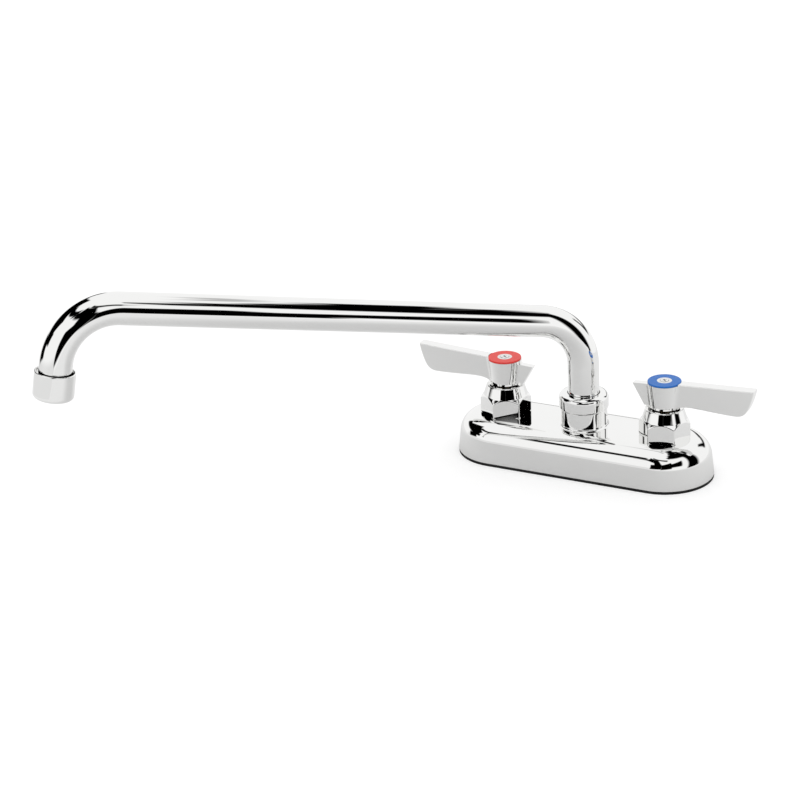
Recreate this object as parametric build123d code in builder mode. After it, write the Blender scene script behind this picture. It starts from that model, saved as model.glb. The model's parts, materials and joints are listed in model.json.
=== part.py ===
"""Commercial deck-mount faucet: two quarter-turn valves at 4 inch centres and a 12 inch swing spout.

Millimetres. The origin is on the deck plane, the underside of the gasket, midway between the two
valves. +X runs along the body to the cold valve, -Y points to the user and +Z points up. The model
stands as photographed: both levers closed, pointing away from each other, and the spout swung to
the left and to the front.
"""
from build123d import *
from math import cos, radians, sin
import os

os.makedirs("parts", exist_ok=True)

# Body casting and what seals it to the deck
VALVE_SPACING = 101.6
BODY_END_R = 29.0
BODY_HEIGHT = 24.5
WALL_DRAFT = 6.2
SHOULDER_R = 12.1
BODY_WALL = 4.0
BODY_ROOF = 4.6
GASKET_T = 1.6
GASKET_INSET = 0.1
GASKET_HOLE_GAP = 0.8

# Passages and threaded sockets in the body
BARREL_R = 14.8
POCKET_R = 12.0
POCKET_FLOOR = 8.5
INLET_R = 5.0
SOCKET_DEPTH = 5.4
WATERWAY_R = 3.8
WATERWAY_WALL = 3.2
WATERWAY_Z = 12.7

# Inlet shanks and their deck fasteners
SHANK_R = 10.4
SHANK_BORE_R = 6.5
SHANK_BELOW_DECK = 46.0
SHANK_END_R = 10.2
SHANK_END_L = 30.0
SHANK_CHAMFER = 1.0
THREAD_GAP = 0.05
DECK_GAP = 6.0
WASHER_R = 19.0
WASHER_T = 2.0
WASHER_GAP = 0.4
LOCK_NUT_FLATS = 30.0
LOCK_NUT_T = 7.0
LOCK_NUT_CHAMFER = 0.8

# Ceramic cartridge, from the seat seal up to the stem
SEAL_T = 2.0
SEAL_R = 7.9
SEAL_HOLE_R = 4.6
CERAMIC_R = 7.8
CERAMIC_T = 3.0
PORT_INNER_R = 2.2
PORT_OUTER_R = 6.2
PORT_ANGLE = 70.0
CHAMBER_R = 8.2
CAGE_R = 9.2
CAGE_FOOT_GAP = 0.3
WINDOW_W = 7.0
WINDOW_H = 2.4
WINDOW_COUNT = 3
FLANGE_T = 2.6
CARTRIDGE_NECK_R = 8.4
CARTRIDGE_TOP = 35.6
STEM_PLATE_T = 1.9
STEM_PLATE_GAP = 0.4
STEM_R = 4.5
STEM_GAP = 0.08
TONGUE_W = 2.4
TONGUE_L = 10.0
TONGUE_H = 1.2
O_RING_WIRE = 1.78
STEM_RING_Z = 28.0
STEM_FLATS = 6.2
STEM_TIP_R = 4.0

# Bonnet nut, a hexagon turned to a cone above
BONNET_CORNER_R = 15.3
BONNET_HEX_H = 9.0
BONNET_SHOULDER_R = 13.1
BONNET_SHOULDER_H = 2.8
BONNET_TOP_Z = 42.7
BONNET_TOP_R = 11.1
BONNET_LIP_T = 4.0
BONNET_MOUTH_R = 5.4
BONNET_TOP_FILLET = 0.8
BONNET_BASE_CHAMFER = 0.6
BONNET_SKIRT_WALL = 2.2
HOT_NUT_TURN = 25.0
COLD_NUT_TURN = 12.6

# Lever handle
HUB_GAP = 0.6
HUB_HEIGHT = 15.2
HUB_FOOT_R = 8.2
HUB_TOP_R = 10.15
BLADE_T = 6.8
BLADE_LENGTH = 55.3
BLADE_RISE = 0.8
BLADE_TIP_RISE = 3.0
BLADE_ROOT_DEPTH = 12.8
BLADE_BELLY_DEPTH = 13.7
BLADE_TIP_R = 8.8
FIN_T = 4.2
FIN_REACH = 19.0
FIN_FOOT = 11.8
FIN_TOP_DROP = 1.7
FIN_TIP_DROP = 2.5
HUB_BLEND_R = 2.6
LEVER_EDGE_R = 0.6
SOCKET_GAP = 0.05
STEM_IN_HUB = 10.2

# Index disc and handle screw
INDEX_R = 9.8
INDEX_T = 0.9
INDEX_HOLE_R = 2.6
SCREW_R = 2.0
SCREW_HEAD_R = 2.45
SCREW_HEAD_T = 1.2
SCREW_LENGTH = 12.0
DRIVE_W = 0.8
DRIVE_L = 3.2
DRIVE_DEPTH = 0.7
SCREW_TIP_GAP = 0.6

# Swivel joint of the spout
BOSS_R = 13.8
BOSS_HEIGHT = 10.7
BOSS_FILLET = 1.4
NECK_R = 12.2
NECK_TOP = 39.5
SOCKET_R = 8.6
SOCKET_FLOOR = 17.6
SLEEVE_GAP = 0.08
SLEEVE_END_GAP = 0.6
SLEEVE_BORE_R = 5.6
SLEEVE_FLANGE_R = 11.4
SLEEVE_FLANGE_T = 1.6
SPIGOT_H = 8.0
SPOUT_RING_Z = (24.0, 33.0)
BEARING_T = 1.0
BEARING_GAP = 0.3
NUT_R = 14.65
NUT_LIP_T = 1.5
NUT_SEAT_GAP = 0.3
NUT_SHOULDER_R = 3.0
NUT_FOOT_R = 0.8
NUT_MOUTH_GAP = 0.35

# Spout tube
TUBE_R = 9.25
TUBE_WALL = 1.1
SPOUT_CORNER_Z = 88.2
RUN_SLOPE = 11.2
RUN_LENGTH = 309.3
OUTLET_LEAN = 10.2
BEND_R = 32.0
SPOUT_SWING = 46.8
OUTLET_LENGTH = 45.6

# Outlet collar and what it holds, measured back from the tube's end
COLLAR_R = 11.4
COLLAR_ABOVE_END = 8.7
COLLAR_BELOW_END = 6.8
COLLAR_WALL = 0.9
COLLAR_LIP_R = 8.6
COLLAR_LIP_T = 3.8
COLLAR_FOOT_R = 2.6
ADAPTER_L = 6.4
BRAZE_GAP = 0.03
OUTLET_WASHER_T = 1.5
OUTLET_WASHER_HOLE_R = 7.2
INSERT_R = 8.45
INSERT_FLANGE_T = 1.5
INSERT_BODY_L = 3.2
INSERT_CUP_R = 7.2
INSERT_PLATE_T = 1.2
JET_R = 0.75
INNER_JET_COUNT = 6
INNER_JET_RING_R = 2.7
OUTER_JET_COUNT = 12
OUTER_JET_RING_R = 5.3
SCREEN_T = 0.5
SCREEN_PITCH = 2.0
SCREEN_HOLE = 1.3
SCREEN_EDGE = 1.2

# Heights and radii that follow from the sizes above
shank_socket_top = GASKET_T + SOCKET_DEPTH
hot_x = -VALVE_SPACING / 2
cold_x = VALVE_SPACING / 2
seal_top = POCKET_FLOOR + SEAL_T
fixed_disc_top = seal_top + CERAMIC_T
moving_disc_top = fixed_disc_top + CERAMIC_T
stem_plate_top = moving_disc_top + STEM_PLATE_T
chamber_top = stem_plate_top + STEM_PLATE_GAP
flange_top = chamber_top + FLANGE_T / 2
hub_foot_z = BONNET_TOP_Z + HUB_GAP
hub_top_z = hub_foot_z + HUB_HEIGHT
stem_top = hub_foot_z + STEM_IN_HUB
tube_bore_r = TUBE_R - TUBE_WALL
flange_foot = NECK_TOP + BEARING_T
sleeve_flange_top = flange_foot + SLEEVE_FLANGE_T
nut_lip_foot = sleeve_flange_top + BEARING_T
nut_top = nut_lip_foot + NUT_LIP_T
boss_top = BODY_HEIGHT + BOSS_HEIGHT
nut_foot = boss_top + NUT_SEAT_GAP
jet_rings = ((INNER_JET_COUNT, INNER_JET_RING_R), (OUTER_JET_COUNT, OUTER_JET_RING_R))


def keep(piece, node):
    """Label a finished piece and write it under its node's name."""
    piece.part.label = node
    export_step(piece.part, f"parts/{node}.step")


def upright(x):
    """The plane XZ through a valve's axis, for profiles that are turned about it."""
    return Plane(origin=(x, 0, 0), x_dir=(1, 0, 0), z_dir=(0, -1, 0))


def ring_plane(x, z):
    """A level plane on a valve's axis at height z."""
    return Plane(origin=(x, 0, z), x_dir=(1, 0, 0), z_dir=(0, 0, 1))


# Body: a drafted stadium with a round shoulder, hollow underneath
with BuildPart() as body_core:
    with BuildSketch(Plane.XY.offset(GASKET_T)):
        SlotCenterToCenter(VALVE_SPACING, 2 * (BODY_END_R - BODY_WALL))
    extrude(amount=BODY_HEIGHT - BODY_ROOF - GASKET_T, taper=WALL_DRAFT)
    fillet(body_core.edges().group_by(Axis.Z)[-1], SHOULDER_R - BODY_WALL)

with BuildPart() as faucet_body:
    with BuildSketch(Plane.XY.offset(GASKET_T)):
        SlotCenterToCenter(VALVE_SPACING, 2 * BODY_END_R)
    extrude(amount=BODY_HEIGHT - GASKET_T, taper=WALL_DRAFT)
    fillet(faucet_body.edges().group_by(Axis.Z)[-1], SHOULDER_R)
    add(body_core.part, mode=Mode.SUBTRACT)
    # Valve barrels, centre post and the waterway that joins them
    with BuildSketch(Plane.XY.offset(GASKET_T)):
        with Locations((hot_x, 0), (cold_x, 0)):
            Circle(BARREL_R)
        Circle(BOSS_R)
    extrude(amount=BODY_HEIGHT - BODY_ROOF / 2 - GASKET_T)
    with BuildSketch(Plane.YZ.offset(hot_x)):
        with Locations((0, WATERWAY_Z)):
            Circle(WATERWAY_R + WATERWAY_WALL)
    extrude(amount=VALVE_SPACING)
    # Boss and threaded neck of the swivel, above the deck
    with BuildSketch(Plane.XZ):
        with BuildLine():
            Polyline(
                (0, BODY_HEIGHT - BODY_ROOF / 2),
                (BOSS_R, BODY_HEIGHT - BODY_ROOF / 2),
                (BOSS_R, boss_top),
                (NECK_R, boss_top),
                (NECK_R, NECK_TOP),
                (0, NECK_TOP),
                close=True,
            )
        make_face()
    revolve(axis=Axis.Z)
    boss_root = faucet_body.edges().filter_by(GeomType.CIRCLE).filter_by_position(
        Axis.Z, BODY_HEIGHT - BOSS_FILLET / 4, BODY_HEIGHT + BOSS_FILLET / 4
    )
    fillet(boss_root.filter_by(lambda e: abs(e.radius - BOSS_R) < THREAD_GAP), BOSS_FILLET)
    # Swivel socket and waterway
    with BuildSketch(Plane.XY.offset(SOCKET_FLOOR)):
        Circle(SOCKET_R)
    extrude(amount=NECK_TOP - SOCKET_FLOOR, mode=Mode.SUBTRACT)
    with BuildSketch(Plane.XY.offset(WATERWAY_Z)):
        Circle(SLEEVE_BORE_R)
    extrude(amount=SOCKET_FLOOR - WATERWAY_Z, mode=Mode.SUBTRACT)
    with BuildSketch(Plane.YZ.offset(hot_x)):
        with Locations((0, WATERWAY_Z)):
            Circle(WATERWAY_R)
    extrude(amount=VALVE_SPACING, mode=Mode.SUBTRACT)
    # Cartridge pockets, inlets and shank sockets
    with BuildSketch(Plane.XY.offset(POCKET_FLOOR)):
        with Locations((hot_x, 0), (cold_x, 0)):
            Circle(POCKET_R)
    extrude(amount=BODY_HEIGHT - POCKET_FLOOR, mode=Mode.SUBTRACT)
    with BuildSketch(Plane.XY.offset(GASKET_T)):
        with Locations((hot_x, 0), (cold_x, 0)):
            Circle(INLET_R)
    extrude(amount=POCKET_FLOOR - GASKET_T, mode=Mode.SUBTRACT)
    with BuildSketch(Plane.XY.offset(GASKET_T)):
        with Locations((hot_x, 0), (cold_x, 0)):
            Circle(SHANK_R + THREAD_GAP)
    extrude(amount=SOCKET_DEPTH, mode=Mode.SUBTRACT)
keep(faucet_body, "faucet_body")

# Deck gasket, with a hole for each shank
with BuildPart() as deck_gasket:
    with BuildSketch():
        SlotCenterToCenter(VALVE_SPACING, 2 * (BODY_END_R - GASKET_INSET))
        with Locations((hot_x, 0), (cold_x, 0)):
            Circle(SHANK_R + GASKET_HOLE_GAP, mode=Mode.SUBTRACT)
    extrude(amount=GASKET_T)
keep(deck_gasket, "deck_gasket")

# Mounting washers and lock nuts, one of each on both shanks
with BuildPart() as shank_washers:
    with BuildSketch(Plane.XY.offset(-DECK_GAP - WASHER_T)):
        with Locations((hot_x, 0), (cold_x, 0)):
            Circle(WASHER_R)
            Circle(SHANK_R + WASHER_GAP, mode=Mode.SUBTRACT)
    extrude(amount=WASHER_T)
keep(shank_washers, "shank_washers")

with BuildPart() as shank_lock_nuts:
    with BuildSketch(Plane.XY.offset(-DECK_GAP - WASHER_T - LOCK_NUT_T)):
        with Locations((hot_x, 0), (cold_x, 0)):
            RegularPolygon(LOCK_NUT_FLATS / 2, side_count=6, major_radius=False)
    extrude(amount=LOCK_NUT_T)
    chamfer(shank_lock_nuts.edges().group_by(Axis.Z)[0], LOCK_NUT_CHAMFER)
    with BuildSketch(Plane.XY.offset(-DECK_GAP - WASHER_T)):
        with Locations((hot_x, 0), (cold_x, 0)):
            Circle(SHANK_R + THREAD_GAP)
    extrude(amount=-LOCK_NUT_T, mode=Mode.SUBTRACT)
keep(shank_lock_nuts, "shank_lock_nuts")


def make_shank(x, node):
    """A threaded inlet nipple screwed up into the body, with a slimmer end for the supply hose."""
    with BuildPart() as shank:
        with BuildSketch(ring_plane(x, -SHANK_BELOW_DECK)):
            Circle(SHANK_END_R)
        extrude(amount=SHANK_END_L)
        with BuildSketch(ring_plane(x, SHANK_END_L - SHANK_BELOW_DECK)):
            Circle(SHANK_R)
        extrude(amount=SHANK_BELOW_DECK - SHANK_END_L + shank_socket_top)
        with BuildSketch(ring_plane(x, -SHANK_BELOW_DECK)):
            Circle(SHANK_BORE_R)
        extrude(amount=SHANK_BELOW_DECK + shank_socket_top, mode=Mode.SUBTRACT)
        chamfer(shank.edges().group_by(Axis.Z)[0].sort_by(SortBy.RADIUS)[-1], SHANK_CHAMFER)
    keep(shank, node)


def sector_ports(turn):
    """Two opposite ring sectors that let the water through a ceramic disc."""
    with BuildSketch() as ports:
        for start in (turn, turn + 180):
            with BuildLine():
                inner = CenterArc((0, 0), PORT_INNER_R, start - PORT_ANGLE / 2, PORT_ANGLE)
                outer = CenterArc((0, 0), PORT_OUTER_R, start - PORT_ANGLE / 2, PORT_ANGLE)
                Line(inner @ 0, outer @ 0)
                Line(inner @ 1, outer @ 1)
            make_face()
    return ports.sketch


def make_cartridge(x, name):
    """The ceramic cartridge: seal, two discs, housing, stem and the stem's O-ring."""
    with BuildPart() as seat_seal:
        with BuildSketch(ring_plane(x, POCKET_FLOOR)):
            Circle(SEAL_R)
            Circle(SEAL_HOLE_R, mode=Mode.SUBTRACT)
        extrude(amount=SEAL_T)
    keep(seat_seal, f"{name}_seat_seal")

    with BuildPart() as fixed_disc:
        with BuildSketch(ring_plane(x, seal_top)):
            Circle(CERAMIC_R)
            add(sector_ports(90), mode=Mode.SUBTRACT)
        extrude(amount=CERAMIC_T)
    keep(fixed_disc, f"{name}_fixed_disc")

    with BuildPart() as moving_disc:
        with BuildSketch(ring_plane(x, fixed_disc_top)):
            Circle(CERAMIC_R)
            add(sector_ports(0), mode=Mode.SUBTRACT)
        extrude(amount=CERAMIC_T)
        with BuildSketch(ring_plane(x, moving_disc_top)):
            Rectangle(TONGUE_W, TONGUE_L)
        extrude(amount=-TONGUE_H, mode=Mode.SUBTRACT)
    keep(moving_disc, f"{name}_moving_disc")

    with BuildPart() as housing:
        with BuildSketch(upright(x)):
            with BuildLine():
                Polyline(
                    (CHAMBER_R, POCKET_FLOOR + CAGE_FOOT_GAP),
                    (CAGE_R, POCKET_FLOOR + CAGE_FOOT_GAP),
                    (CAGE_R, flange_top - FLANGE_T),
                    (POCKET_R - THREAD_GAP, flange_top - FLANGE_T),
                    (POCKET_R - THREAD_GAP, flange_top),
                    (CARTRIDGE_NECK_R, flange_top),
                    (CARTRIDGE_NECK_R, CARTRIDGE_TOP),
                    (STEM_R + STEM_GAP, CARTRIDGE_TOP),
                    (STEM_R + STEM_GAP, chamber_top),
                    (CHAMBER_R, chamber_top),
                    close=True,
                )
            make_face()
        revolve(axis=Axis((x, 0, 0), (0, 0, 1)))
        # Outlet windows beside the moving disc
        with BuildSketch(ring_plane(x, fixed_disc_top)):
            with PolarLocations(CAGE_R, WINDOW_COUNT):
                Rectangle(2 * (CAGE_R - CHAMBER_R) + THREAD_GAP, WINDOW_W)
        extrude(amount=WINDOW_H, mode=Mode.SUBTRACT)
    keep(housing, f"{name}_cartridge_housing")

    groove_root = STEM_R + STEM_GAP / 2 - O_RING_WIRE
    with BuildPart() as stem:
        with BuildSketch(upright(x)):
            with BuildLine():
                Polyline(
                    (0, moving_disc_top),
                    (CERAMIC_R - STEM_PLATE_GAP, moving_disc_top),
                    (CERAMIC_R - STEM_PLATE_GAP, stem_plate_top),
                    (STEM_R, stem_plate_top),
                    (STEM_R, STEM_RING_Z - O_RING_WIRE / 2),
                    (groove_root, STEM_RING_Z - O_RING_WIRE / 2),
                    (groove_root, STEM_RING_Z + O_RING_WIRE / 2),
                    (STEM_R, STEM_RING_Z + O_RING_WIRE / 2),
                    (STEM_R, hub_foot_z),
                    (0, hub_foot_z),
                    close=True,
                )
            make_face()
        revolve(axis=Axis((x, 0, 0), (0, 0, 1)))
        with BuildSketch(ring_plane(x, moving_disc_top)):
            Rectangle(TONGUE_W - SOCKET_GAP, TONGUE_L - SOCKET_GAP)
        extrude(amount=-TONGUE_H)
        # The two flats that turn it, and the screw's hole
        with BuildSketch(ring_plane(x, hub_foot_z)):
            Circle(STEM_TIP_R)
            Rectangle(2 * STEM_TIP_R, STEM_FLATS, mode=Mode.INTERSECT)
        extrude(amount=STEM_IN_HUB)
        with BuildSketch(ring_plane(x, stem_top)):
            Circle(SCREW_R)
        extrude(amount=-(SCREW_LENGTH - HUB_HEIGHT + STEM_IN_HUB + SCREW_TIP_GAP), mode=Mode.SUBTRACT)
    keep(stem, f"{name}_stem")

    with BuildPart() as stem_ring:
        with BuildSketch(upright(x)):
            with Locations((groove_root + O_RING_WIRE / 2, STEM_RING_Z)):
                Circle(O_RING_WIRE / 2)
        revolve(axis=Axis((x, 0, 0), (0, 0, 1)))
    keep(stem_ring, f"{name}_stem_o_ring")


def make_bonnet(x, turn, node):
    """The bonnet nut: a hexagon whose top is turned to a full cone, hollow and threaded below."""
    hex_top = BODY_HEIGHT + BONNET_HEX_H
    shoulder_z = hex_top + BONNET_SHOULDER_H
    with BuildPart() as bonnet:
        with BuildSketch(upright(x)):
            with BuildLine():
                Polyline(
                    (0, BODY_HEIGHT),
                    (BONNET_CORNER_R - BONNET_BASE_CHAMFER, BODY_HEIGHT),
                    (BONNET_CORNER_R, BODY_HEIGHT + BONNET_BASE_CHAMFER),
                    (BONNET_CORNER_R, hex_top),
                    (BONNET_SHOULDER_R, shoulder_z),
                    (BONNET_TOP_R, BONNET_TOP_Z),
                    (0, BONNET_TOP_Z),
                    close=True,
                )
            make_face()
        revolve(axis=Axis((x, 0, 0), (0, 0, 1)))
        fillet(bonnet.edges().group_by(Axis.Z)[-1], BONNET_TOP_FILLET)
        with BuildSketch(ring_plane(x, BODY_HEIGHT)):
            RegularPolygon(BONNET_CORNER_R, side_count=6, rotation=turn)
        extrude(amount=BONNET_TOP_Z - BODY_HEIGHT, mode=Mode.INTERSECT)
        # Threaded skirt that goes down into the body and clamps the cartridge
        with BuildSketch(ring_plane(x, flange_top)):
            Circle(POCKET_R - THREAD_GAP)
        extrude(amount=BODY_HEIGHT - flange_top)
        with BuildSketch(ring_plane(x, flange_top)):
            Circle(POCKET_R - BONNET_SKIRT_WALL)
        extrude(amount=BONNET_TOP_Z - BONNET_LIP_T - flange_top, mode=Mode.SUBTRACT)
        with BuildSketch(ring_plane(x, flange_top)):
            Circle(BONNET_MOUTH_R)
        extrude(amount=BONNET_TOP_Z - flange_top, mode=Mode.SUBTRACT)
    keep(bonnet, node)


def make_lever(x, side, node):
    """The lever: a tapered hub, a long flat blade that dips at its tip, and a short tail fin."""
    flat = Plane(origin=(x, 0, 0), x_dir=(side, 0, 0), z_dir=(0, 0, 1))
    profile = Plane(origin=(x, 0, 0), x_dir=(side, 0, 0), z_dir=(0, -side, 0))
    root_x = HUB_TOP_R / 2
    blade_root_z = hub_top_z + BLADE_RISE
    blade_tip_z = hub_top_z + BLADE_TIP_RISE
    with BuildPart() as lever:
        with BuildSketch(profile):
            with BuildLine():
                Polyline(
                    (0, hub_foot_z), (HUB_FOOT_R, hub_foot_z), (HUB_TOP_R, hub_top_z), (0, hub_top_z),
                    close=True,
                )
            make_face()
        revolve(axis=Axis((x, 0, 0), (0, 0, 1)))
        # Blade, seen from the side
        with BuildSketch(profile):
            with BuildLine():
                top = Polyline(
                    (root_x, blade_root_z), (HUB_TOP_R, blade_root_z), (BLADE_LENGTH, blade_tip_z)
                )
                tip = Spline(
                    top @ 1,
                    (BLADE_LENGTH - BLADE_TIP_R / 3, blade_tip_z - BLADE_BELLY_DEPTH * 3 / 4),
                    (BLADE_LENGTH - BLADE_TIP_R * 5 / 4, hub_top_z - BLADE_BELLY_DEPTH),
                    tangents=((-1, -6), (-1, 0)),
                )
                belly = Spline(
                    tip @ 1,
                    (BLADE_LENGTH * 2 / 5, hub_top_z - BLADE_ROOT_DEPTH),
                    (HUB_FOOT_R, hub_foot_z),
                    tangents=((-1, 0), (-1, -1)),
                )
                Line(belly @ 1, (root_x, hub_foot_z))
                Line((root_x, hub_foot_z), top @ 0)
            make_face()
        extrude(amount=BLADE_T / 2, both=True)
        # Tail fin on the far side of the hub
        with BuildSketch(profile):
            with BuildLine():
                Polyline(
                    (-root_x, hub_foot_z),
                    (-FIN_FOOT, hub_foot_z),
                    (-FIN_REACH, hub_top_z - FIN_TIP_DROP),
                    (-root_x, hub_top_z - FIN_TOP_DROP),
                    close=True,
                )
            make_face()
        extrude(amount=FIN_T / 2, both=True)
        # Blends where blade and fin leave the hub, then the rounded rim of the blade
        corners = lever.edges().filter_by(
            lambda e: e.length > HUB_HEIGHT / 2
            and HUB_FOOT_R / 2 < abs(e.center().X - x) < HUB_TOP_R
            and FIN_T / 3 < abs(e.center().Y) < BLADE_T * 2 / 3
        )
        fillet(corners, HUB_BLEND_R)
        rim = lever.edges().filter_by(
            lambda e: e.length > HUB_HEIGHT
            and side * (e.center().X - x) > HUB_TOP_R
            and abs(e.center().Y) > BLADE_T / 2 - SOCKET_GAP
        )
        fillet(rim, LEVER_EDGE_R)
        # Seat of the index disc
        with BuildSketch(flat.offset(hub_top_z)):
            Circle(HUB_TOP_R)
        extrude(amount=BLADE_TIP_RISE, mode=Mode.SUBTRACT)
        # Socket on the stem's two flats, and the screw's hole
        with BuildSketch(flat.offset(hub_foot_z)):
            Circle(STEM_TIP_R + SOCKET_GAP)
            Rectangle(2 * STEM_TIP_R + 1, STEM_FLATS + 2 * SOCKET_GAP, mode=Mode.INTERSECT)
        extrude(amount=STEM_IN_HUB, mode=Mode.SUBTRACT)
        with BuildSketch(flat.offset(hub_foot_z)):
            Circle(SCREW_R + SOCKET_GAP)
        extrude(amount=HUB_HEIGHT, mode=Mode.SUBTRACT)
    keep(lever, node)


def make_index(x, node):
    """The coloured index disc on the hub."""
    with BuildPart() as index:
        with BuildSketch(ring_plane(x, hub_top_z)):
            Circle(INDEX_R)
            Circle(INDEX_HOLE_R, mode=Mode.SUBTRACT)
        extrude(amount=INDEX_T)
    keep(index, node)


def make_screw(x, node):
    """The handle screw with its cross recess."""
    with BuildPart() as screw:
        with BuildSketch(ring_plane(x, hub_top_z)):
            Circle(SCREW_HEAD_R)
        extrude(amount=SCREW_HEAD_T)
        with BuildSketch(ring_plane(x, hub_top_z)):
            Circle(SCREW_R - SOCKET_GAP)
        extrude(amount=-SCREW_LENGTH)
        with BuildSketch(ring_plane(x, hub_top_z + SCREW_HEAD_T)):
            Rectangle(DRIVE_L, DRIVE_W, rotation=45)
            Rectangle(DRIVE_W, DRIVE_L, rotation=45)
        extrude(amount=-DRIVE_DEPTH, mode=Mode.SUBTRACT)
    keep(screw, node)


for valve, valve_x, valve_side, nut_turn in (
    ("hot", hot_x, -1, HOT_NUT_TURN),
    ("cold", cold_x, 1, COLD_NUT_TURN),
):
    make_shank(valve_x, f"{valve}_inlet_shank")
    make_cartridge(valve_x, valve)
    make_bonnet(valve_x, nut_turn, f"{valve}_bonnet_nut")
    make_lever(valve_x, valve_side, f"{valve}_lever")
    make_index(valve_x, f"{valve}_index_disc")
    make_screw(valve_x, f"{valve}_handle_screw")

# Swivel of the spout: sleeve with two O-rings, two bearing rings and the nut that holds them
ring_root = SOCKET_R - SLEEVE_GAP / 2 - O_RING_WIRE
sleeve_r = SOCKET_R - SLEEVE_GAP
with BuildPart() as swivel_sleeve:
    with BuildSketch(Plane.XZ):
        with BuildLine():
            Polyline(
                (SLEEVE_BORE_R, SOCKET_FLOOR + SLEEVE_END_GAP),
                (sleeve_r, SOCKET_FLOOR + SLEEVE_END_GAP),
                (sleeve_r, flange_foot),
                (SLEEVE_FLANGE_R, flange_foot),
                (SLEEVE_FLANGE_R, sleeve_flange_top),
                (tube_bore_r - BRAZE_GAP, sleeve_flange_top),
                (tube_bore_r - BRAZE_GAP, sleeve_flange_top + SPIGOT_H),
                (SLEEVE_BORE_R, sleeve_flange_top + SPIGOT_H),
                close=True,
            )
        make_face()
        for ring_z in SPOUT_RING_Z:
            with Locations((sleeve_r, ring_z)):
                Rectangle(2 * (sleeve_r - ring_root), O_RING_WIRE, mode=Mode.SUBTRACT)
    revolve(axis=Axis.Z)
keep(swivel_sleeve, "swivel_sleeve")

with BuildPart() as spout_o_rings:
    with BuildSketch(Plane.XZ):
        for ring_z in SPOUT_RING_Z:
            with Locations((ring_root + O_RING_WIRE / 2, ring_z)):
                Circle(O_RING_WIRE / 2)
    revolve(axis=Axis.Z)
keep(spout_o_rings, "spout_o_rings")

with BuildPart() as lower_bearing_ring:
    with BuildSketch(Plane.XY.offset(NECK_TOP)):
        Circle(SLEEVE_FLANGE_R)
        Circle(SOCKET_R + BEARING_GAP, mode=Mode.SUBTRACT)
    extrude(amount=BEARING_T)
keep(lower_bearing_ring, "lower_bearing_ring")

with BuildPart() as upper_bearing_ring:
    with BuildSketch(Plane.XY.offset(sleeve_flange_top)):
        Circle(SLEEVE_FLANGE_R)
        Circle(TUBE_R + BEARING_GAP, mode=Mode.SUBTRACT)
    extrude(amount=BEARING_T)
keep(upper_bearing_ring, "upper_bearing_ring")

with BuildPart() as spout_nut:
    with BuildSketch(Plane.XY.offset(nut_foot)):
        Circle(NUT_R)
    extrude(amount=nut_top - nut_foot)
    fillet(spout_nut.edges().group_by(Axis.Z)[-1], NUT_SHOULDER_R)
    fillet(spout_nut.edges().group_by(Axis.Z)[0], NUT_FOOT_R)
    with BuildSketch(Plane.XY.offset(nut_foot)):
        Circle(NECK_R + THREAD_GAP)
    extrude(amount=nut_lip_foot - nut_foot, mode=Mode.SUBTRACT)
    with BuildSketch(Plane.XY.offset(nut_foot)):
        Circle(TUBE_R + NUT_MOUTH_GAP)
    extrude(amount=nut_top - nut_foot, mode=Mode.SUBTRACT)
keep(spout_nut, "spout_nut")

# Spout tube: riser, sloping run and outlet, bent twice to the same radius in one upright plane
swing = radians(SPOUT_SWING)
reach_dir = Vector(-cos(swing), -sin(swing), 0)
run_dir = reach_dir * cos(radians(RUN_SLOPE)) + Vector(0, 0, 1) * sin(radians(RUN_SLOPE))
outlet_dir = reach_dir * sin(radians(OUTLET_LEAN)) - Vector(0, 0, 1) * cos(radians(OUTLET_LEAN))
riser_corner = Vector(0, 0, SPOUT_CORNER_Z)
outlet_corner = riser_corner + run_dir * RUN_LENGTH
tube_end = outlet_corner + outlet_dir * OUTLET_LENGTH
riser_foot = Vector(0, 0, sleeve_flange_top)

with BuildPart() as spout_tube:
    with BuildLine():
        spout_path = FilletPolyline(riser_foot, riser_corner, outlet_corner, tube_end, radius=BEND_R)
    with BuildSketch(Plane(origin=riser_foot, x_dir=reach_dir, z_dir=(0, 0, 1))):
        Circle(TUBE_R)
        Circle(tube_bore_r, mode=Mode.SUBTRACT)
    sweep(path=spout_path)
keep(spout_tube, "spout_tube")

# Outlet pieces, turned about the outlet's own axis: local +Z points down the stream
level_dir = reach_dir * cos(radians(OUTLET_LEAN)) + Vector(0, 0, 1) * sin(radians(OUTLET_LEAN))
outlet_plane = Plane(origin=tube_end, x_dir=level_dir, z_dir=outlet_dir)
outlet_side = Plane(origin=tube_end, x_dir=level_dir, z_dir=level_dir.cross(outlet_dir))
outlet_axis = Axis(tube_end, outlet_dir)
collar_bore_r = COLLAR_R - COLLAR_WALL
collar_end = COLLAR_BELOW_END
insert_seat = OUTLET_WASHER_T + INSERT_FLANGE_T

with BuildPart() as outlet_adapter:
    with BuildSketch(outlet_plane):
        Circle(collar_bore_r - THREAD_GAP)
        Circle(TUBE_R + BRAZE_GAP, mode=Mode.SUBTRACT)
    extrude(amount=-ADAPTER_L)
keep(outlet_adapter, "outlet_adapter")

with BuildPart() as outlet_collar:
    with BuildSketch(outlet_plane.offset(-COLLAR_ABOVE_END)):
        Circle(COLLAR_R)
    extrude(amount=COLLAR_ABOVE_END + collar_end)
    foot_edge = outlet_collar.edges().filter_by(GeomType.CIRCLE).sort_by_distance(
        outlet_plane.offset(collar_end).origin
    )[0]
    fillet(foot_edge, COLLAR_FOOT_R)
    with BuildSketch(outlet_plane.offset(-COLLAR_ABOVE_END)):
        Circle(collar_bore_r)
    extrude(amount=COLLAR_ABOVE_END + insert_seat, mode=Mode.SUBTRACT)
    with BuildSketch(outlet_plane.offset(insert_seat)):
        Circle(COLLAR_LIP_R)
    extrude(amount=COLLAR_LIP_T, mode=Mode.SUBTRACT)
keep(outlet_collar, "outlet_collar")

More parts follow.
